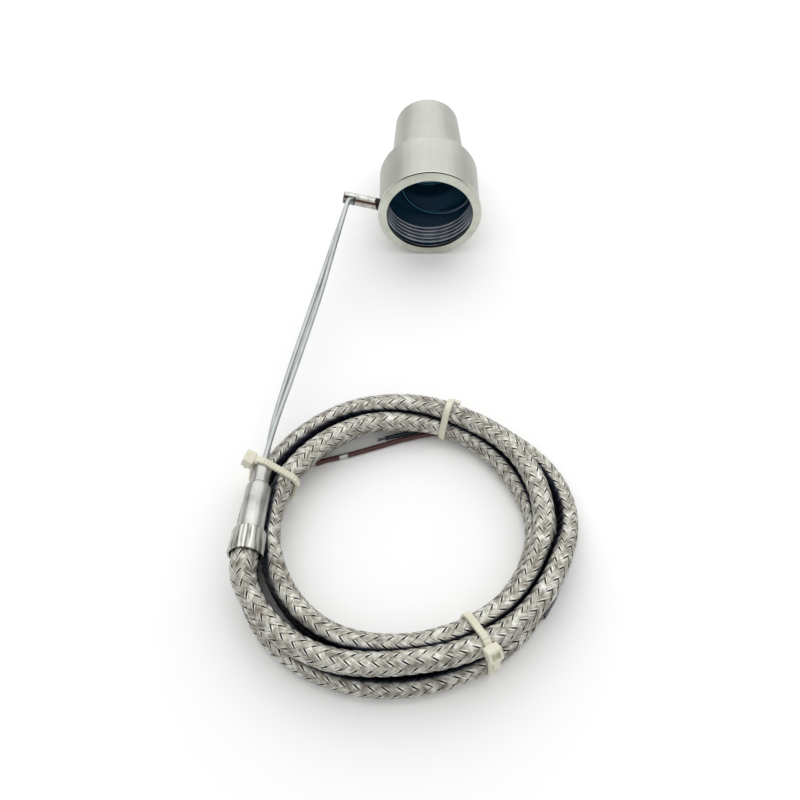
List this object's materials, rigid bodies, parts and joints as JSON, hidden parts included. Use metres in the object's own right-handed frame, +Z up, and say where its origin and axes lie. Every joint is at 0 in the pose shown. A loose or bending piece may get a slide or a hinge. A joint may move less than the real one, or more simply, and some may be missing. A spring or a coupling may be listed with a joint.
{
  "type": "hot runner coil heater",
  "caption": "Stepped metal sleeve with a wound heating element inside, stiff side leads and a coiled braided lead, slid over a mould nozzle to heat it",
  "frame": {"origin": "centre of the front ring's mouth, on the bore's axis", "axes": "+Y runs into the bore, +Z is up, +X is right as seen from the mouth; the part lies on the surface at z = -18 mm"},
  "size_m": [0.0986, 0.2106, 0.036],
  "materials": {
    "ring_steel": "fine turned",
    "sleeve_steel": "satin",
    "element_steel": "dark satin",
    "rod_steel": "satin",
    "bright_steel": "bright",
    "potting": "matt",
    "metal_braid": "braided",
    "black_plastic": "satin",
    "brown_plastic": "satin",
    "cream_nylon": "moulded"
  },
  "bodies": {
    "root": {"front_ring": "ring_steel", "outer_sleeve": "sleeve_steel", "heater_coil": "element_steel", "lead_guide_tube": "bright_steel", "power_lead_rod": "rod_steel", "thermocouple_rod": "rod_steel", "transition_sleeve": "bright_steel", "crimp_skirt": "bright_steel", "potting_plug": "potting", "braided_lead_tube": "metal_braid", "braided_lead_coil": "metal_braid", "shrink_sleeve": "black_plastic", "brown_wire": "brown_plastic", "brown_wire_band": "bright_steel", "black_wire": "black_plastic", "black_wire_strands": "bright_steel", "left_tie": "cream_nylon", "far_tie": "cream_nylon", "near_tie": "cream_nylon"}
  },
  "joints": []
}
